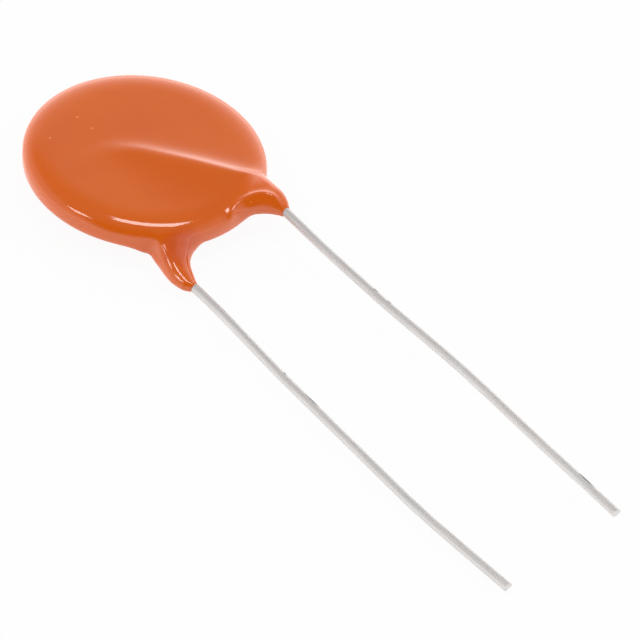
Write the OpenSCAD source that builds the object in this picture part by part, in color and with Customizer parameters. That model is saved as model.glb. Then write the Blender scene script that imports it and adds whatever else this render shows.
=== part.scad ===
// Ceramic disc capacitor with two radial wire leads, dipped in hard resin.
// The disc lies in the XY plane of its own frame with its leads towards -Y. at_rest() then
// lays it on a surface at z = 0, with the middle of its bounding box over the origin.

/* [Dipped disc] */
// Diameter over the resin
disc_d = 17; // [16.6:0.2:20]
// Thickness over the resin, clear of the wires
disc_t = 2.1; // [2.1:0.05:2.4]

/* [Inner stack] */
// Diameter of the fired ceramic disc
ceramic_d = 15.2; // [14.4:0.2:15.4]
// Thickness of the fired ceramic disc
ceramic_t = 0.84; // [0.7:0.02:0.9]
// Diameter of the silver on each face, with a bare margin around it
electrode_d = 14.2; // [13:0.2:14.2]
// Thickness of the silver on each face
electrode_t = 0.03; // [0.02:0.01:0.05]
// Solder between the silver and the wire
solder_film = 0.03; // [0.02:0.01:0.05]
// Length of the soldered joint along the wire
solder_len = 3; // [2:0.5:4]

/* [Leads] */
// Diameter of the tinned wire
wire_d = 0.64; // [0.5:0.02:0.7]
// Distance between the two wires where they bend out of the disc
lead_pitch = 9.1; // [8.5:0.1:10]
// Inner radius of the bend at the rim, to the middle of the wire
rim_bend_r = 1.6; // [1.2:0.1:2]
// Slope of the cut face at the end of each wire, in degrees
tip_slope = 20; // [0:5:30]

/* [Resin legs] */
// Distance from the disc's centre to the foot of the resin on the front wire
front_foot = 9.95; // [9.6:0.05:11]
// Distance from the disc's centre to the foot of the resin on the back wire
back_foot = 11.4; // [10.5:0.1:13]
// Radius of the resin around the front wire at the rim
front_leg_r = 0.65; // [0.55:0.05:0.8]
// Radius of the resin around the back wire at the rim
back_leg_r = 0.75; // [0.6:0.05:0.9]

/* [Hidden] */
$fn = 64;

// Heights above the middle of the ceramic
electrode_z = ceramic_t / 2;
solder_z = electrode_z + electrode_t;
wire_z = solder_z + solder_film + wire_d / 2;

// Full round rim
rim_r = disc_t / 2;
rim_ring_r = disc_d / 2 - rim_r;

// Each wire as runs: length, turn after it in degrees away from the middle line, bend radius.
// A heading of 0 is along -Y. The wire starts just past the disc's centre.
wire_start = [-0.95, 0.55];
start_heading = 37;
toe_in = 1.35;
set_r = 30;
joint_r = wire_d / 2 + 0.004;
rim_x = lead_pitch / 2;
rim_run = (rim_x - wire_start[0]) / sin(start_heading)
    - rim_bend_r * tan((start_heading + toe_in) / 2);
rim_y = wire_start[1] - (rim_x - wire_start[0]) / tan(start_heading);
rim_turn = [rim_run, -start_heading - toe_in, rim_bend_r];
front_runs = [rim_turn, [6.6, 2.05, set_r], [5.2, 2.05, set_r], [5.7, -2.75, set_r],
              [2.6, -0.9, set_r], [5.4, 0.9, set_r], [7.05, 0, 0]];
back_runs = [rim_turn, [4.6, 4.25, set_r], [6.4, -1.7, set_r], [13.4, -4.4, set_r], [7.5, 0, 0]];

// Resin legs: a full section, a shoulder above the foot, and a thin edge at the foot
shoulder = 1;
foot_edge = 0.06;
ridge_start_r = 0.44;
ridge_end_r = 0.62;

// Soldered joint: a low round bar cut off at the silver, with the top of the wire just proud of it
solder_bar_r = 0.98;
wire_proud = 0.15;
solder_bar_z = wire_z + wire_d / 2 - wire_proud - solder_bar_r;

// The length of a leg's full section, the direction of a heading, the step past a bend, and
// the place where a list of runs ends
function leg_run(foot) = foot + rim_y - shoulder;
function way(heading) = [sin(heading), -cos(heading)];
function past_bend(turn, r, heading) =
    2 * r * sin(abs(turn) / 2) * way(heading + turn / 2);
function end_place(runs, i, place, heading) = i == len(runs) ? place :
    end_place(runs, i + 1,
              place + runs[i][0] * way(heading) + past_bend(runs[i][1], runs[i][2], heading),
              heading + runs[i][1]);

front_tip = end_place(front_runs, 0, wire_start, start_heading);
back_tip = end_place(back_runs, 0, wire_start, start_heading);

// The part rests on three places: the end of its back wire, the resin leg on that wire, and
// the rim on the other side. Each is a ball or ring of known radius, so the direction straight
// down, as [x, y] beside its main part along -Z, follows from their heights being equal.
leg_low = [rim_x, rim_y] + leg_run(back_foot) * way(-toe_in);
function slope_y(x) =
    (back_leg_r - wire_d / 2 + x * (back_tip[0] - leg_low[0])) / (back_tip[1] - leg_low[1]);
function slope_x(y, x) =
    (y * leg_low[1] - x * leg_low[0] + wire_z + back_leg_r - rim_r) * x
    / (rim_ring_r * norm([x, y]));
function settled(x, n) = n == 0 ? x : settled(slope_x(slope_y(x), x), n - 1);
down_x = settled(0.06, 30);
down_y = slope_y(down_x);
rest_h = rim_ring_r * norm([down_x, down_y]) + rim_r;
middle_y = (disc_d / 2 + back_tip[1]) / 2;

module at_rest() {
    translate([0, -middle_y, rest_h])
        rotate([atan(-down_y), atan(down_x), 0])
            children();
}

// Turns a front piece over to the back face
module turned_over() {
    rotate([0, 180, 0])
        children();
}

// Places a piece at the start of the front wire, with the wire along its +X
module along_start() {
    translate([wire_start[0], wire_start[1], wire_z])
        rotate([0, 0, start_heading - 90])
            children();
}

module rod(length, r1, r2) {
    rotate([0, 90, 0])
        cylinder(h = length, r1 = r1, r2 = r2);
}

// A bend that starts along +X and turns towards +Y when the turn is positive
module wire_bend(turn, r) {
    mirror([0, turn < 0 ? 1 : 0, 0])
        translate([0, r, 0])
            rotate([0, 0, -90])
                rotate_extrude(angle = abs(turn))
                    translate([r, 0])
                        circle(d = wire_d);
}

// Ball a hair wider than the wire, with its poles along the wire
module joint() {
    rotate([0, 90, 0])
        sphere(joint_r);
}

// Straight runs and bends, each joined to the next by a ball
module wire_runs(runs, i = 0) {
    run = runs[i][0];
    turn = runs[i][1];
    r = runs[i][2];
    if (i > 0)
        joint();
    if (i == len(runs) - 1) {
        sheared_end(run);
    } else {
        rod(run, wire_d / 2, wire_d / 2);
        translate([run, 0, 0]) {
            joint();
            wire_bend(turn, r);
            translate([r * sin(abs(turn)), sign(turn) * r * (1 - cos(turn)), 0])
                rotate([0, 0, turn])
                    wire_runs(runs, i + 1);
        }
    }
}

// Last run of a wire, cropped by side cutters
module sheared_end(run) {
    difference() {
        rod(run + wire_d, wire_d / 2, wire_d / 2);
        translate([run, 0, 0])
            rotate([0, tip_slope, 0])
                translate([0, -wire_d, -2 * wire_d])
                    cube([2 * wire_d, 2 * wire_d, 4 * wire_d]);
    }
}

module front_wire(runs) {
    along_start()
        wire_runs(runs);
}

module ceramic_shape() {
    chamfer = 0.1;
    rotate_extrude()
        polygon([[0, -ceramic_t / 2], [ceramic_d / 2 - chamfer, -ceramic_t / 2],
                 [ceramic_d / 2, -ceramic_t / 2 + chamfer],
                 [ceramic_d / 2, ceramic_t / 2 - chamfer],
                 [ceramic_d / 2 - chamfer, ceramic_t / 2], [0, ceramic_t / 2]]);
}

module electrode_shape() {
    translate([0, 0, electrode_z])
        cylinder(h = electrode_t, d = electrode_d);
}

module solder_mound() {
    intersection() {
        along_start()
            translate([0.3, 0, solder_bar_z - wire_z]) {
                rod(solder_len, solder_bar_r, solder_bar_r);
                sphere(solder_bar_r);
                translate([solder_len, 0, 0])
                    sphere(solder_bar_r);
            }
        translate([0, 0, solder_z])
            cylinder(h = disc_t, d = electrode_d);
    }
}

// Flat disc with a full round rim
module resin_disc() {
    rotate_extrude() {
        translate([0, -disc_t / 2])
            square([rim_ring_r, disc_t]);
        translate([rim_ring_r, 0])
            circle(rim_r);
    }
}

// Resin over the front wire: a ridge across the face, and a leg from its round knee at the rim
// to the foot
module resin_leg(foot, leg_r) {
    full_run = leg_run(foot);
    along_start()
        rod(norm([rim_x, rim_y] - wire_start), ridge_start_r, ridge_end_r);
    translate([rim_x, rim_y, wire_z])
        rotate([90, 0, -toe_in])
            rotate_extrude()
                intersection() {
                    union() {
                        circle(leg_r);
                        polygon([[0, 0], [leg_r, 0], [leg_r, full_run],
                                 [wire_d / 2 + foot_edge, full_run + shoulder],
                                 [0, full_run + shoulder]]);
                    }
                    translate([0, -leg_r])
                        square([leg_r, leg_r + foot]);
                }
}

// Fillet that the resin draws from the rim to the foot, on the side towards the other leg: a
// flat web with a round bead along its hollow edge. The bead's arc touches a circle just inside
// the rim and a line just inside the leg, and ends level with the leg's shoulder.
module resin_web(foot, leg_r) {
    bead_r = 0.5;
    buried = 0.1;
    ring = rim_ring_r + 0.3;
    leg_x = rim_x - leg_r + bead_r + buried;
    end_y = -foot + shoulder + buried;
    hollow_r = (pow(leg_x, 2) + pow(end_y, 2) - pow(ring, 2)) / (2 * (ring + leg_x));
    middle = [leg_x - hollow_r, end_y];
    translate([0, 0, wire_z - leg_r + bead_r + buried]) {
        linear_extrude(1.6 * bead_r, center = true)
            difference() {
                polygon([middle, middle * ring / norm(middle), [rim_x, rim_y], [leg_x, end_y]]);
                translate(middle)
                    circle(hollow_r);
            }
        translate(middle)
            rotate_extrude(angle = atan2(-middle[1], -middle[0]))
                translate([hollow_r, 0])
                    circle(bead_r);
    }
}

module ceramic_disc() {
    color("burlywood")
        ceramic_shape();
}

module electrode_front() {
    color("silver")
        electrode_shape();
}

module electrode_back() {
    color("silver")
        turned_over()
            electrode_shape();
}

module solder_front() {
    color("slategray")
        difference() {
            solder_mound();
            front_wire(front_runs);
        }
}

module solder_back() {
    color("slategray")
        turned_over()
            difference() {
                solder_mound();
                front_wire(back_runs);
            }
}

module lead_front() {
    color("lightgray")
        front_wire(front_runs);
}

module lead_back() {
    color("lightgray")
        turned_over()
            front_wire(back_runs);
}

module coating() {
    color("chocolate")
        difference() {
            union() {
                resin_disc();
                resin_leg(front_foot, front_leg_r);
                resin_web(front_foot, front_leg_r);
                turned_over() {
                    resin_leg(back_foot, back_leg_r);
                    resin_web(back_foot, back_leg_r);
                }
            }
            ceramic_shape();
            electrode_shape();
            solder_mound();
            front_wire(front_runs);
            turned_over() {
                electrode_shape();
                solder_mound();
                front_wire(back_runs);
            }
        }
}

at_rest() ceramic_disc();
at_rest() electrode_front();
at_rest() electrode_back();
at_rest() solder_front();
at_rest() solder_back();
at_rest() lead_front();
at_rest() lead_back();
at_rest() coating();
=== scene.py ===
import math

import bmesh
import bpy
import numpy as np
from mathutils import Matrix, Vector


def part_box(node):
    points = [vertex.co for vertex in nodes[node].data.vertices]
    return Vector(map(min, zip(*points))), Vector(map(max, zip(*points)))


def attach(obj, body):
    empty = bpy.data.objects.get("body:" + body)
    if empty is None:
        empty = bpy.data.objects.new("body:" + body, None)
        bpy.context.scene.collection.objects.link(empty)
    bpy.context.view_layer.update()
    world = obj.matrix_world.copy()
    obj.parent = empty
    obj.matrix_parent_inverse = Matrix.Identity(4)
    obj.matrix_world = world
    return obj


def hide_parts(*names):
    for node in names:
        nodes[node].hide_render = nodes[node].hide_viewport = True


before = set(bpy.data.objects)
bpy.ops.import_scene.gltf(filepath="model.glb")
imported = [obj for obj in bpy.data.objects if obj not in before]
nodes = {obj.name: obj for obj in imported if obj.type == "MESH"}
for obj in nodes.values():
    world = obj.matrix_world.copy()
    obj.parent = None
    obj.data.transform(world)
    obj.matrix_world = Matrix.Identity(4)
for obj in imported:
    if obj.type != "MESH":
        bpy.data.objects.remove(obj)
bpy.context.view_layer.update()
print("frame loaded")


def middleOf(node):
    low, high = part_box(node)
    return (low + high) / 2


# The disc's own frame in millimetres: its middle at the origin, x to the front lead, y away
# from the leads, z out of the front face
discOut = (middleOf("electrode_front") - middleOf("electrode_back")).normalized()
discRight = Vector((0, 1, 0)).cross(discOut).normalized()
discUp = discOut.cross(discRight)
discToRow = (Matrix.Translation(middleOf("ceramic_disc"))
             @ Matrix((discRight, discUp, discOut)).transposed().to_4x4()
             @ Matrix.Scale(0.001, 4))


sharpAngle = math.radians(40)  # edges steeper than this stay sharp


def finishPiece(name, mesh, body, cadNode, material):
    mesh.transform(discToRow)
    mesh.name = name
    for face in mesh.polygons:
        face.use_smooth = True
    mesh.set_sharp_from_angle(angle=sharpAngle)
    piece = bpy.data.objects.new(name, mesh)
    bpy.context.scene.collection.objects.link(piece)
    mesh.materials.append(material)
    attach(piece, body)
    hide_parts(cadNode)
    return piece


def newMaterial(name):
    material = bpy.data.materials.new(name)
    material.use_nodes = True
    tree = material.node_tree
    tree.nodes.clear()
    output = tree.nodes.new("ShaderNodeOutputMaterial")
    shader = tree.nodes.new("ShaderNodeBsdfPrincipled")
    tree.links.new(shader.outputs["BSDF"], output.inputs["Surface"])
    return material, tree, shader


def addNode(tree, kind, values=None, **settings):
    node = tree.nodes.new(kind)
    for key, value in settings.items():
        setattr(node, key, value)
    for key, value in (values or {}).items():
        if isinstance(value, bpy.types.NodeSocket):
            tree.links.new(value, node.inputs[key])
        else:
            node.inputs[key].default_value = value
    return node


def makeGrain():
    # soft blotches and fine specks over a surface, with its scales as inputs
    group = bpy.data.node_groups.new("surfaceGrain", "ShaderNodeTree")
    for name, value in (("Blotch Size", 1.0), ("Speck Size", 0.1), ("Stretch", 1.0)):
        socket = group.interface.new_socket(name, in_out="INPUT", socket_type="NodeSocketFloat")
        socket.default_value = value
    for name in ("Blotches", "Specks"):
        group.interface.new_socket(name, in_out="OUTPUT", socket_type="NodeSocketFloat")
    start = group.nodes.new("NodeGroupInput")
    end = group.nodes.new("NodeGroupOutput")
    place = addNode(group, "ShaderNodeTexCoord").outputs["Object"]
    along = addNode(group, "ShaderNodeCombineXYZ",
                    {"X": 1.0, "Y": start.outputs["Stretch"], "Z": 1.0})
    drawn = addNode(group, "ShaderNodeVectorMath", {0: place, 1: along.outputs[0]},
                    operation="MULTIPLY")
    for size, result, detail in (("Blotch Size", "Blotches", 3.0), ("Speck Size", "Specks", 1.0)):
        scale = addNode(group, "ShaderNodeMath", {0: 1000.0, 1: start.outputs[size]},
                        operation="DIVIDE")
        noise = addNode(group, "ShaderNodeTexNoise",
                        {"Vector": drawn.outputs[0], "Scale": scale.outputs[0], "Detail": detail})
        group.links.new(noise.outputs["Fac"], end.inputs[result])
    return group


surfaceGrain = makeGrain()


def addGrain(tree, blotchSize, speckSize, stretch=1.0):
    grain = tree.nodes.new("ShaderNodeGroup")
    grain.node_tree = surfaceGrain
    grain.inputs["Blotch Size"].default_value = blotchSize
    grain.inputs["Speck Size"].default_value = speckSize
    grain.inputs["Stretch"].default_value = stretch
    return grain


def makeSpot():
    # soft-edged mask round a place, with its reach along each axis
    group = bpy.data.node_groups.new("spot", "ShaderNodeTree")
    for name in ("Place", "Reach"):
        group.interface.new_socket(name, in_out="INPUT", socket_type="NodeSocketVector")
    group.interface.new_socket("Mask", in_out="OUTPUT", socket_type="NodeSocketFloat")
    start = group.nodes.new("NodeGroupInput")
    end = group.nodes.new("NodeGroupOutput")
    place = addNode(group, "ShaderNodeTexCoord").outputs["Object"]
    away = addNode(group, "ShaderNodeVectorMath", {0: place, 1: start.outputs["Place"]},
                   operation="SUBTRACT")
    scaled = addNode(group, "ShaderNodeVectorMath",
                     {0: away.outputs[0], 1: start.outputs["Reach"]}, operation="DIVIDE")
    length = addNode(group, "ShaderNodeVectorMath", {0: scaled.outputs[0]}, operation="LENGTH")
    group.links.new(mapRange(group, length.outputs["Value"], 0.5, 1.0, 1, 0), end.inputs["Mask"])
    return group


def addSpots(tree, spots):
    # one mask for several spots, each a place and a reach in the disc's own millimetres
    whole = 0.0
    for place, reach in spots:
        spot = tree.nodes.new("ShaderNodeGroup")
        spot.node_tree = spotMask
        spot.inputs["Place"].default_value = discToRow @ Vector(place)
        spot.inputs["Reach"].default_value = Vector(reach) / 1000
        whole = addNode(tree, "ShaderNodeMath", {0: spot.outputs["Mask"], 1: whole},
                        operation="MAXIMUM").outputs[0]
    return whole


def mixColors(tree, factor, first, second):
    mix = addNode(tree, "ShaderNodeMix", data_type="RGBA")
    for socket, value in ((mix.inputs["Factor"], factor), (mix.inputs[6], first),
                          (mix.inputs[7], second)):
        if isinstance(value, bpy.types.NodeSocket):
            tree.links.new(value, socket)
        else:
            socket.default_value = value
    return mix.outputs[2]


def mapRange(tree, value, fromLow, fromHigh, toLow, toHigh):
    return addNode(tree, "ShaderNodeMapRange",
                   {"Value": value, "From Min": fromLow, "From Max": fromHigh,
                    "To Min": toLow, "To Max": toHigh}).outputs["Result"]


spotMask = makeSpot()
noiseSpan = (0.35, 0.65)  # part of a noise's range that colours are spread over
roughSpan = (0.3, 0.7)  # the same for roughness


resin = {
    "color": (0.72, 0.125, 0.004, 1),
    "deepColor": (0.69, 0.114, 0.003, 1),
    "rimColor": (0.74, 0.12, 0.002, 1),
    "rim": (6.8, 8.4),
    # painted shade: a darker colour round the back leg's root, where the hollow lies in shade
    "hollowShadeColor": (0.67, 0.085, 0.001, 1),
    "shadedHollows": [((-3.3, -8.6, 0.3), (2.0, 1.6, 1.4))],
    "roughness": 0.07,
    "ior": 1.55,
    "blotchSize": 5.0,
    "orangePeelSize": 1.4,
    "orangePeel": 0.004,
    # painted highlights: a paler colour on the small bubble specks, standing in for the light they
    # catch
    "speckHighlightColor": (0.85, 0.25, 0.07, 1),
    "speckHighlights": [((-5.0, 4.4, 1.05), (0.12, 0.12, 0.3)), ((-2.05, 5.15, 1.05), (0.12, 0.12, 0.3)),
               ((-1.9, 3.7, 1.05), (0.12, 0.12, 0.3)), ((2.75, -8.15, 1.08), (0.09, 0.09, 0.2))],
}


def resinMaterial():
    # deeper in colour where there is no pale ceramic close under it, at the rim and the legs,
    # darker round the back leg's root as painted shade in that hollow, and lighter on the bubble
    # specks as painted highlights
    material, tree, shader = newMaterial("dipped resin")
    grain = addGrain(tree, resin["blotchSize"], resin["orangePeelSize"])
    shade = mapRange(tree, grain.outputs["Blotches"], *noiseSpan, 0, 1)
    color = mixColors(tree, shade, resin["deepColor"], resin["color"])
    place = addNode(tree, "ShaderNodeTexCoord").outputs["Object"]
    away = addNode(tree, "ShaderNodeVectorMath", {0: place, 1: middleOf("ceramic_disc")},
                   operation="DISTANCE")
    inside, outside = resin["rim"]
    rim = mapRange(tree, away.outputs["Value"], inside / 1000, outside / 1000, 0, 1)
    color = mixColors(tree, rim, color, resin["rimColor"])
    # painted shade darkening the hollow round the back leg's root
    color = mixColors(tree, addSpots(tree, resin["shadedHollows"]), color, resin["hollowShadeColor"])
    # painted highlights on the bubble specks
    color = mixColors(tree, addSpots(tree, resin["speckHighlights"]), color, resin["speckHighlightColor"])
    tree.links.new(color, shader.inputs["Base Color"])
    shader.inputs["Roughness"].default_value = resin["roughness"]
    shader.inputs["IOR"].default_value = resin["ior"]
    bump = addNode(tree, "ShaderNodeBump",
                   {"Height": grain.outputs["Specks"], "Strength": 1.0,
                    "Distance": resin["orangePeel"] / 1000})
    tree.links.new(bump.outputs["Normal"], shader.inputs["Normal"])
    return material


wire = {
    "color": (0.53, 0.51, 0.50, 1),
    "darkColor": (0.50, 0.48, 0.47, 1),
    "markColor": (0.16, 0.15, 0.15, 1),
    "marks": [((4.8, -41.0, 1.1), (0.12, 0.9, 0.12)), ((4.54, -19.5, 1.1), (0.08, 0.3, 0.09)),
              ((4.57, -20.9, 1.1), (0.08, 0.25, 0.09)), ((-4.66, -21.4, -0.5), (0.11, 0.2, 0.09)),
              ((-4.77, -24.4, -0.5), (0.08, 0.9, 0.08))],
    "metallic": 1.0,
    "roughness": (0.42, 0.55),
    "blotchSize": 0.5,
    "speckSize": 0.16,
    "stretch": 0.06,
    "bump": 0.001,
}
ceramic = {
    "color": (0.74, 0.66, 0.52, 1),
    "darkColor": (0.68, 0.60, 0.47, 1),
    "metallic": 0.0,
    "roughness": (0.7, 0.85),
    "blotchSize": 2.5,
    "speckSize": 0.12,
    "stretch": 1.0,
    "bump": 0.01,
}
silver = {
    "color": (0.85, 0.85, 0.83, 1),
    "darkColor": (0.76, 0.75, 0.72, 1),
    "metallic": 1.0,
    "roughness": (0.45, 0.65),
    "blotchSize": 1.5,
    "speckSize": 0.08,
    "stretch": 1.0,
    "bump": 0.006,
}
solder = {
    "color": (0.64, 0.65, 0.66, 1),
    "darkColor": (0.56, 0.56, 0.57, 1),
    "metallic": 1.0,
    "roughness": (0.25, 0.45),
    "blotchSize": 0.8,
    "speckSize": 0.2,
    "stretch": 1.0,
    "bump": 0.01,
}


def grainedMaterial(name, finish):
    material, tree, shader = newMaterial(name)
    grain = addGrain(tree, finish["blotchSize"], finish["speckSize"], finish["stretch"])
    shade = mapRange(tree, grain.outputs["Specks"], *noiseSpan, 0, 1)
    color = mixColors(tree, shade, finish["darkColor"], finish["color"])
    if "marks" in finish:
        color = mixColors(tree, addSpots(tree, finish["marks"]), color, finish["markColor"])
    tree.links.new(color, shader.inputs["Base Color"])
    shader.inputs["Metallic"].default_value = finish["metallic"]
    rough = mapRange(tree, grain.outputs["Blotches"], *roughSpan, *finish["roughness"])
    tree.links.new(rough, shader.inputs["Roughness"])
    bump = addNode(tree, "ShaderNodeBump",
                   {"Height": grain.outputs["Specks"], "Strength": 1.0,
                    "Distance": finish["bump"] / 1000})
    tree.links.new(bump.outputs["Normal"], shader.inputs["Normal"])
    return material


def dressNode(node, material):
    # a CAD node whose shape is right keeps it and gets a better finish
    for slot in nodes[node].material_slots:
        slot.material = material


resinFinish = resinMaterial()
wireFinish = grainedMaterial("tinned wire", wire)
dressNode("ceramic_disc", grainedMaterial("fired ceramic", ceramic))
silverFinish = grainedMaterial("fired silver", silver)
solderFinish = grainedMaterial("soft solder", solder)
for side in ("front", "back"):
    dressNode("electrode_" + side, silverFinish)
    dressNode("solder_" + side, solderFinish)
print("materials made")


# The coating's shape is a distance from any point to its surface, in the disc's own millimetres

def mixed(first, second, part):
    return first + (second - first) * part


def rise(value, low, high):
    t = np.clip((value - low) / (high - low), 0, 1)
    return t * t * (3 - 2 * t)


def curveThrough(at, knots, values):
    # smooth curve through a few values, level beyond the first and the last
    knots, values = np.array(knots, float), np.array(values, float)
    slopes = np.gradient(values, knots)
    slopes[0] = slopes[-1] = 0
    at = np.clip(at, knots[0], knots[-1])
    i = np.clip(np.searchsorted(knots, at, side="right") - 1, 0, len(knots) - 2)
    width = knots[i + 1] - knots[i]
    t = (at - knots[i]) / width
    bend = t ** 3 - 2 * t ** 2 + t
    unbend = t ** 3 - t ** 2
    return mixed(values[i], values[i + 1], 3 * t ** 2 - 2 * t ** 3) + width * (
        bend * slopes[i] + unbend * slopes[i + 1])


def fillet(first, second, radius):
    # union of two outlines with a round fillet between them
    return np.maximum(radius, np.minimum(first, second)) - np.hypot(
        np.maximum(radius - first, 0), np.maximum(radius - second, 0))


# A wire is a list of runs: length, turn after it in degrees, radius of that turn. Its cropped end
# is cut by planes: axis that the plane leans about, degrees, distance back from the end
leads = {
    "radius": 0.32,
    "height": 0.8,
    "start": (-0.95, 0.55),
    "heading": 37,
    "rimTurn": -38.35,
    "rimRadius": 1.6,
    "rimX": 4.55,
    "frontRuns": [(6.6, 2.05, 30), (5.2, 2.05, 30), (5.7, -2.75, 30),
                  (2.6, -0.9, 30), (5.4, 0.9, 30), (7.05, 0, 0)],
    "backRuns": [(4.6, 4.25, 30), (6.4, -1.7, 30), (13.4, -4.4, 30), (7.5, 0, 0)],
    "sides": 28,
    "step": 0.4,
    "bendStep": 6,
    "frontCrop": [("Y", -25, 0.05), ("X", 15, 0.08)],
    "backCrop": [("Y", 25, 0.05), ("X", -15, 0.08)],
}


# Everything under "down" is a distance from the disc's middle towards the leads, and the lists
# beside it give a value at each. The back leg and ridge are the same kind of shape, turned over
coating = {
    "radius": 8.5,
    "thickness": 1.05,
    "rimWidth": 2.5,
    "rimPower": 3.0,
    "voxel": 0.11,
    "smoothing": 3,
    "passes": 8,
    "blank": {
        "segments": 96,
        "bevel": 0.9,
        "coneSegments": 32,
        "coneRadii": (3.6, 0.7),
        "coneLevel": 0.6,
        "coneFlatness": 0.45,
        "overlap": 1,
        "voxel": 0.16,
        "smoothing": 6,
        "passes": 12,
    },
    "pull": {"probe": 0.01, "leastSteepness": 0.2, "longest": 0.3},
    "ridge": {
        "down": (-2.5, 0.0, 2.5, 5.0, 6.8),
        "across": (-2.2, -0.35, 1.6, 3.4, 4.7),
        "height": (0.0, 0.17, 0.29, 0.36, 0.38),
        "farWidth": (1.0, 0.85, 0.8, 0.85, 0.9),
        "nearWidth": (1.3, 1.5, 2.0, 2.2, 2.2),
        "fade": (6.2, 8.8),
        "faceRise": (-0.1, 0.8),
    },
    "legs": {
        "sideTurn": (-0.4, 0.4),
        "farInset": 1.5,
        "insetTurn": (1.0, 3.6),
        "filletTurn": (4.2, 4.9),
        "liftEnd": 9.2,
        "webLevel": 0.3,
    },
    "front": {
        "down": (4.5, 6.5, 7.6, 8.6, 9.4, 9.95),
        "middle": (4.5, 4.5, 4.35, 4.5, 4.5, 4.47),
        "inner": (0.8, 0.8, 0.95, 0.72, 0.52, 0.36),
        "outer": (0.8, 0.8, 0.95, 0.82, 0.6, 0.36),
        "top": (0.5, 1.05, 1.4, 1.53, 1.3, 1.16),
        "bottom": (-0.4, -0.27, -0.12, 0.05, 0.3, 0.44),
        "reach": (0.2, 4.3),
        "fillet": (3.2, 0.4),
        "inset": 0.45,
        "edge": 0.9,
        "power": 2.5,
    },
    "back": {
        "down": (4.5, 6.5, 8.0, 9.2, 10.3, 11.0, 11.4),
        "middle": (4.3, 4.3, 4.4, 4.55, 4.65, 4.65, 4.5),
        "inner": (0.65, 0.65, 1.3, 1.15, 0.95, 0.65, 0.38),
        "outer": (0.3, 0.3, 0.65, 0.75, 0.7, 0.5, 0.34),
        "top": (0.5, 0.7, 1.3, 1.48, 1.3, 1.2, 1.16),
        "bottom": (-0.4, -0.4, -0.27, 0.1, 0.3, 0.4, 0.44),
        "reach": (0.0, 2.0),
        "fillet": (3.3, 0.2),
        "inset": 0.7,
        "edge": 0.55,
        "power": 2.0,
    },
    "blend": 0.5,
    "shoulder": {
        "middle": (2.4, -9.55),
        "radius": 1.85,
        "height": 0.18,
        "width": 0.32,
        "faceRise": (0.2, 0.9),
        "alongRise": (-0.3, 0.7),
    },
}


def hump(away):
    # smooth rise to 1 where away is 0
    return (1 + away ** 2) ** -1.5


def ridgeHeight(points):
    # low ridge over the wire, steeper on the side away from the leads
    ridge = coating["ridge"]
    down = -points[:, 1]
    knots = ridge["down"]
    away = points[:, 0] - curveThrough(down, knots, ridge["across"])
    away = away * math.cos(math.radians(leads["heading"]))
    width = np.where(away > 0, curveThrough(down, knots, ridge["farWidth"]),
                     curveThrough(down, knots, ridge["nearWidth"]))
    height = curveThrough(down, knots, ridge["height"]) * hump(away / width)
    return height * rise(points[:, 2], *ridge["faceRise"]) * (1 - rise(down, *ridge["fade"]))


def shoulderHeight(points):
    # low raised edge round the hollow between the disc and the front leg
    shoulder = coating["shoulder"]
    across, along = points[:, 0] - shoulder["middle"][0], points[:, 1] - shoulder["middle"][1]
    away = (np.hypot(across, along) - shoulder["radius"]) / shoulder["width"]
    fade = rise(points[:, 2], *shoulder["faceRise"]) * rise(along, *shoulder["alongRise"])
    return shoulder["height"] * hump(away) * fade


def slabDistance(out, up, width, thick, power):
    # distance to a slab with a rounded edge, from a point's places across and up in that edge
    size = np.maximum((out ** power + up ** power) ** (1 / power), 1e-6)
    slope = np.hypot((out / size) ** (power - 1) / width, (up / size) ** (power - 1) / thick)
    return (size - 1) / slope


def discDistance(points):
    outside = np.hypot(points[:, 0], points[:, 1]) - coating["radius"]
    out = np.maximum(outside / coating["rimWidth"] + 1, 0)
    return slabDistance(out, np.abs(points[:, 2]) / coating["thickness"], coating["rimWidth"],
                        coating["thickness"], coating["rimPower"])


def legDistance(points, leg):
    # a leg with the web that joins it to the disc: an outline seen from the front, with a height
    # above and below its wire everywhere in it, and a rounded edge
    both = coating["legs"]
    down = -points[:, 1]
    knots = leg["down"]
    across = points[:, 0] - curveThrough(down, knots, leg["middle"])
    outward = rise(across, *both["sideTurn"])
    wide = mixed(curveThrough(down, knots, leg["inner"]), curveThrough(down, knots, leg["outer"]),
                 outward)
    legPlan = np.hypot(across, np.maximum(knots[1] - down, 0)) - wide
    discPlan = np.hypot(points[:, 0], points[:, 1]) - coating["radius"]
    inset = mixed(leg["inset"], both["farInset"], rise(legPlan, *both["insetTurn"]))
    plan = fillet(discPlan + inset, legPlan,
                  mixed(*leg["fillet"], rise(points[:, 0], *both["filletTurn"])))

    reach = rise(points[:, 0], *leg["reach"])
    lift = reach * rise(down, knots[0], both["liftEnd"])
    top = mixed(leg["top"][0], curveThrough(down, knots, leg["top"]), reach)
    bottom = mixed(leg["bottom"][0], curveThrough(down, knots, leg["bottom"]), reach)
    level = mixed(both["webLevel"], leads["height"], lift)
    width = mixed(leg["edge"], wide, lift)
    up = points[:, 2] - level
    thick = np.where(up > 0, top - level, level - bottom)
    out = np.maximum(plan / width + 1, 0)
    slab = slabDistance(out, np.abs(up) / thick, width, thick, leg["power"])
    return np.maximum(slab, down - knots[-1])


def coatingDistance(points):
    turned = points * (-1, 1, -1)
    leg = np.where(points[:, 0] > 0, legDistance(points, coating["front"]),
                   legDistance(turned, coating["back"]))
    whole = fillet(discDistance(points), leg, coating["blend"])
    return whole - ridgeHeight(points) - ridgeHeight(turned) - shoulderHeight(points)


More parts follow.
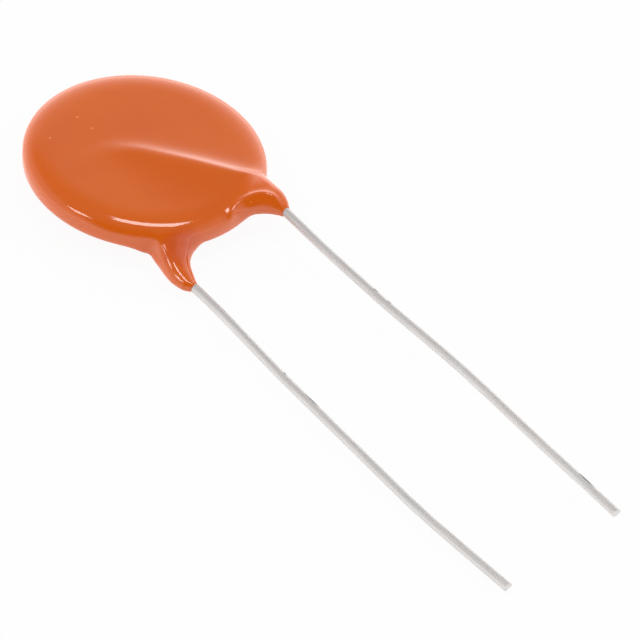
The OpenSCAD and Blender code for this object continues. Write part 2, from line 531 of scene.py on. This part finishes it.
def pullOntoCoating(mesh, passes):
    # moves every corner along the distance's slope until the distance is nothing
    pull = coating["pull"]
    points = np.empty(len(mesh.vertices) * 3)
    mesh.vertices.foreach_get("co", points)
    points = points.reshape(-1, 3)
    step = pull["probe"]
    for _ in range(passes):
        distance = coatingDistance(points)
        rises = [coatingDistance(points + move) - coatingDistance(points - move)
                 for move in np.eye(3) * step]
        slope = np.stack(rises, axis=1) / (2 * step)
        steepness = np.maximum((slope ** 2).sum(axis=1), pull["leastSteepness"])
        move = slope * (distance / steepness)[:, None]
        longest = np.maximum(np.linalg.norm(move, axis=1) / pull["longest"], 1)
        points = points - move / longest[:, None]
    mesh.vertices.foreach_set("co", points.ravel())
    mesh.update()


def remeshed(mesh, voxel, smoothing):
    blank = bpy.data.objects.new("blank", mesh)
    bpy.context.scene.collection.objects.link(blank)
    cells = blank.modifiers.new("cells", "REMESH")
    cells.mode = "VOXEL"
    cells.voxel_size = voxel
    cells.adaptivity = 0
    soften = blank.modifiers.new("soften", "SMOOTH")
    soften.factor = 0.5
    soften.iterations = smoothing
    graph = bpy.context.evaluated_depsgraph_get()
    result = bpy.data.meshes.new_from_object(blank.evaluated_get(graph))
    bpy.data.objects.remove(blank)
    return result


def coatingBlank():
    # a disc with its rim bevelled, and a flattened cone for each leg
    blank = coating["blank"]
    bm = bmesh.new()
    radius, thickness = coating["radius"], coating["thickness"]
    bmesh.ops.create_cone(bm, cap_ends=True, segments=blank["segments"], radius1=radius,
                          radius2=radius, depth=2 * thickness)
    rimEdges = [e for e in bm.edges if abs(e.verts[0].co.z - e.verts[1].co.z) < 0.01]
    bmesh.ops.bevel(bm, geom=rimEdges, offset=blank["bevel"] * thickness, offset_type="OFFSET",
                    affect="EDGES", segments=4, profile=0.5, material=-1)
    wide, narrow = blank["coneRadii"]
    for leg, turn in ((coating["front"], 0), (coating["back"], math.pi)):
        top, foot = blank["overlap"] - leg["down"][0], -leg["down"][-1]
        place = Matrix.Translation((leg["middle"][2], (top + foot) / 2, blank["coneLevel"]))
        bmesh.ops.create_cone(bm, cap_ends=True, segments=blank["coneSegments"], radius1=wide,
                              radius2=narrow, depth=top - foot,
                              matrix=Matrix.Rotation(turn, 4, "Y") @ place
                              @ Matrix.Scale(blank["coneFlatness"], 4, (0, 0, 1))
                              @ Matrix.Rotation(math.pi / 2, 4, "X"))
    mesh = bpy.data.meshes.new("coatingBlank")
    bm.to_mesh(mesh)
    bm.free()
    return mesh


def makeCoating():
    blank = coating["blank"]
    mesh = remeshed(coatingBlank(), blank["voxel"], blank["smoothing"])
    pullOntoCoating(mesh, blank["passes"])
    mesh = remeshed(mesh, coating["voxel"], coating["smoothing"])
    pullOntoCoating(mesh, coating["passes"])
    return finishPiece("resinCoating", mesh, "root", "coating", resinFinish)


resinCoating = makeCoating()
print("coating made:", len(resinCoating.data.polygons), "faces")


def wireStations(runs):
    # place and heading at short steps along a wire
    x, y = leads["start"]
    heading = math.radians(leads["heading"])
    bend = leads["rimRadius"] * math.tan(abs(math.radians(leads["rimTurn"])) / 2)
    first = (leads["rimX"] - x) / math.sin(heading) - bend
    stations = [(x, y, heading)]
    for length, turn, radius in [(first, leads["rimTurn"], leads["rimRadius"])] + list(runs):
        steps = max(1, math.ceil(length / leads["step"]))
        for _ in range(steps):
            x += length / steps * math.sin(heading)
            y -= length / steps * math.cos(heading)
            stations.append((x, y, heading))
        turn = math.radians(turn)
        steps = math.ceil(abs(turn) / math.radians(leads["bendStep"]))
        for _ in range(steps):
            part = turn / steps
            chord = 2 * radius * math.sin(abs(part) / 2)
            x += chord * math.sin(heading + part / 2)
            y -= chord * math.cos(heading + part / 2)
            heading += part
            stations.append((x, y, heading))
    return stations


def stationMatrix(station):
    x, y, heading = station
    return (Matrix.Translation((x, y, leads["height"]))
            @ Matrix.Rotation(heading, 4, "Z") @ Matrix.Rotation(math.pi / 2, 4, "X"))


def makeLead(name, runs, crop, turn, cadNode):
    bm = bmesh.new()
    stations = [stationMatrix(s) for s in wireStations(runs)]
    bmesh.ops.create_circle(bm, cap_ends=True, segments=leads["sides"], radius=leads["radius"],
                            matrix=stations[0])
    ring = list(bm.edges)
    for before, after in zip(stations, stations[1:]):
        made = bmesh.ops.extrude_edge_only(bm, edges=ring)["geom"]
        ring = [e for e in made if isinstance(e, bmesh.types.BMEdge)]
        bmesh.ops.transform(bm, matrix=after @ before.inverted(),
                            verts=[v for v in made if isinstance(v, bmesh.types.BMVert)])
    bmesh.ops.holes_fill(bm, edges=ring, sides=0)
    for axis, lean, back in crop:
        cut = (stations[-1] @ Matrix.Translation((0, 0, -back))
               @ Matrix.Rotation(math.radians(lean), 4, axis))
        bmesh.ops.bisect_plane(bm, geom=bm.verts[:] + bm.edges[:] + bm.faces[:],
                               plane_co=cut.translation, plane_no=cut.col[2].xyz, clear_outer=True)
        bmesh.ops.holes_fill(bm, edges=[e for e in bm.edges if e.is_boundary], sides=0)
    bmesh.ops.transform(bm, matrix=Matrix.Rotation(turn, 4, "Y"), verts=bm.verts)
    bmesh.ops.recalc_face_normals(bm, faces=bm.faces)
    mesh = bpy.data.meshes.new(name)
    bm.to_mesh(mesh)
    bm.free()
    return finishPiece(name, mesh, "root", cadNode, wireFinish)


makeLead("frontLead", leads["frontRuns"], leads["frontCrop"], 0, "lead_front")
makeLead("backLead", leads["backRuns"], leads["backCrop"], math.pi, "lead_back")
print("leads made")


camera = {
    "azimuth": -43.33,
    "elevation": 43.97,
    "roll": 6.11,
    "distance": 0.38,
    "lens": 318.1,
    "aim": (0.00007, -0.0011, 0.00145),
}


def makeCamera():
    azimuth, elevation = math.radians(camera["azimuth"]), math.radians(camera["elevation"])
    back = Vector((math.sin(azimuth) * math.cos(elevation),
                   -math.cos(azimuth) * math.cos(elevation), math.sin(elevation)))
    data = bpy.data.cameras.new("camera")
    data.lens = camera["lens"]
    data.clip_start, data.clip_end = 0.01, 20
    piece = bpy.data.objects.new("camera", data)
    bpy.context.scene.collection.objects.link(piece)
    piece.matrix_world = (Matrix.Translation(Vector(camera["aim"]) + back * camera["distance"])
                          @ (-back).to_track_quat("-Z", "Y").to_matrix().to_4x4()
                          @ Matrix.Rotation(math.radians(camera["roll"]), 4, "Z"))
    bpy.context.scene.camera = piece


makeCamera()


# The stops are degrees and brightness: from the far horizon over the top to the near one, and
# from the horizon up at the sides
studio = {
    "floorRadius": 3.0,
    "floorColor": (0.94, 0.94, 0.94, 1),
    "floorCameraGlow": 0.94,
    "floorGlossyGlow": 0.75,
    "viewAzimuth": camera["azimuth"],
    "horizonStops": [(0, 2.8), (12, 2.4), (22, 1.8), (34, 0.95), (44, 0.42), (50, 0.32),
                     (60, 0.35), (80, 0.4), (92, 0.3), (104, 0.12), (136, 0.1), (150, 0.2),
                     (162, 0.5), (172, 0.9), (180, 1.25)],
    "sideStops": [(0, 2.2), (9, 1.8), (17, 1.5), (25, 1.25), (35, 1.05), (50, 0.95), (65, 0.8),
                  (90, 0.4)],
    "sideBlend": (0.3, 0.65),
    "strip": {"azimuth": 11, "elevation": 65, "distance": 0.7, "size": (0.19, 0.11),
              "strength": 9},
    "side": {"azimuth": -95, "elevation": 64, "distance": 0.7, "size": (0.13, 0.15),
             "strength": 8},
}


def makeFloor():
    bm = bmesh.new()
    bmesh.ops.create_circle(bm, cap_ends=True, segments=64, radius=studio["floorRadius"])
    mesh = bpy.data.meshes.new("floor")
    bm.to_mesh(mesh)
    bm.free()
    floor = bpy.data.objects.new("floor", mesh)
    bpy.context.scene.collection.objects.link(floor)
    material = bpy.data.materials.new("floor")
    material.use_nodes = True
    tree = material.node_tree
    tree.nodes.clear()
    output = tree.nodes.new("ShaderNodeOutputMaterial")
    matt = addNode(tree, "ShaderNodeBsdfDiffuse", {"Color": studio["floorColor"]})
    glow = addNode(tree, "ShaderNodeEmission", {"Color": (1, 1, 1, 1), "Strength": 1.0})
    path = tree.nodes.new("ShaderNodeLightPath")
    cameraPart = addNode(tree, "ShaderNodeMath",
                         {0: path.outputs["Is Camera Ray"], 1: studio["floorCameraGlow"]},
                         operation="MULTIPLY")
    mix = addNode(tree, "ShaderNodeMixShader",
                  {0: cameraPart.outputs[0], 1: matt.outputs[0], 2: glow.outputs[0]})
    glossyPart = addNode(tree, "ShaderNodeMath",
                         {0: path.outputs["Is Glossy Ray"], 1: studio["floorGlossyGlow"]},
                         operation="MULTIPLY")
    glossyGlow = addNode(tree, "ShaderNodeEmission",
                         {"Color": (1, 1, 1, 1), "Strength": glossyPart.outputs[0]})
    both = addNode(tree, "ShaderNodeAddShader", {0: mix.outputs[0], 1: glossyGlow.outputs[0]})
    tree.links.new(both.outputs[0], output.inputs["Surface"])
    mesh.materials.append(material)


def makeSky():
    world = bpy.data.worlds.new("studio")
    bpy.context.scene.world = world
    world.use_nodes = True
    tree = world.node_tree
    tree.nodes.clear()
    output = tree.nodes.new("ShaderNodeOutputWorld")
    azimuth = math.radians(studio["viewAzimuth"])
    far = (-math.sin(azimuth), math.cos(azimuth), 0)
    right = (math.cos(azimuth), math.sin(azimuth), 0)
    direction = addNode(tree, "ShaderNodeTexCoord").outputs["Generated"]
    ahead = addNode(tree, "ShaderNodeVectorMath", {0: direction, 1: far},
                    operation="DOT_PRODUCT")
    across = addNode(tree, "ShaderNodeVectorMath", {0: direction, 1: right},
                     operation="DOT_PRODUCT")
    height = addNode(tree, "ShaderNodeSeparateXYZ", {0: direction}).outputs["Z"]
    over = addNode(tree, "ShaderNodeMath", {0: height, 1: ahead.outputs["Value"]},
                   operation="ARCTAN2")
    overTurn = addNode(tree, "ShaderNodeMath", {0: over.outputs[0], 1: math.pi}, operation="DIVIDE")
    up = addNode(tree, "ShaderNodeMath", {0: height}, operation="ARCSINE")
    upTurn = addNode(tree, "ShaderNodeMath", {0: up.outputs[0], 1: math.pi / 2}, operation="DIVIDE")
    brightest = studio["horizonStops"][0][1]
    levels = []
    for turn, stops, whole in ((overTurn, studio["horizonStops"], 180),
                               (upTurn, studio["sideStops"], 90)):
        ramp = addNode(tree, "ShaderNodeValToRGB", {0: turn.outputs[0]})
        for i, (degrees, value) in enumerate(stops):
            elements = ramp.color_ramp.elements
            stop = elements[i] if i < 2 else elements.new(degrees / whole)
            stop.position = degrees / whole
            stop.color = (value / brightest,) * 3 + (1,)
        levels.append(ramp.outputs["Color"])
    sideways = addNode(tree, "ShaderNodeMath", {0: across.outputs["Value"]}, operation="ABSOLUTE")
    blend = addNode(tree, "ShaderNodeMapRange",
                    {"Value": sideways.outputs[0], "From Min": studio["sideBlend"][0],
                     "From Max": studio["sideBlend"][1]}, interpolation_type="SMOOTHSTEP")
    sky = mixColors(tree, blend.outputs["Result"], levels[0], levels[1])
    scaled = addNode(tree, "ShaderNodeBackground", {"Color": sky, "Strength": brightest})
    white = addNode(tree, "ShaderNodeBackground", {"Color": (1, 1, 1, 1), "Strength": 1.0})
    path = tree.nodes.new("ShaderNodeLightPath")
    mix = addNode(tree, "ShaderNodeMixShader",
                  {0: path.outputs["Is Camera Ray"], 1: scaled.outputs[0], 2: white.outputs[0]})
    tree.links.new(mix.outputs[0], output.inputs["Surface"])


def makeLamp(name, lamp):
    azimuth = math.radians(studio["viewAzimuth"] - lamp["azimuth"])
    elevation = math.radians(lamp["elevation"])
    toLamp = Vector((-math.sin(azimuth) * math.cos(elevation),
                     math.cos(azimuth) * math.cos(elevation), math.sin(elevation)))
    data = bpy.data.lights.new(name, "AREA")
    data.shape = "RECTANGLE"
    data.size, data.size_y = lamp["size"]
    data.energy = lamp["strength"] * math.pi * lamp["size"][0] * lamp["size"][1]
    piece = bpy.data.objects.new(name, data)
    bpy.context.scene.collection.objects.link(piece)
    piece.matrix_world = (Matrix.Translation(toLamp * lamp["distance"])
                          @ (-toLamp).to_track_quat("-Z", "Y").to_matrix().to_4x4())


makeFloor()
makeSky()
makeLamp("strip", studio["strip"])
makeLamp("side", studio["side"])
bpy.context.scene.view_settings.view_transform = "Standard"
print("studio made")
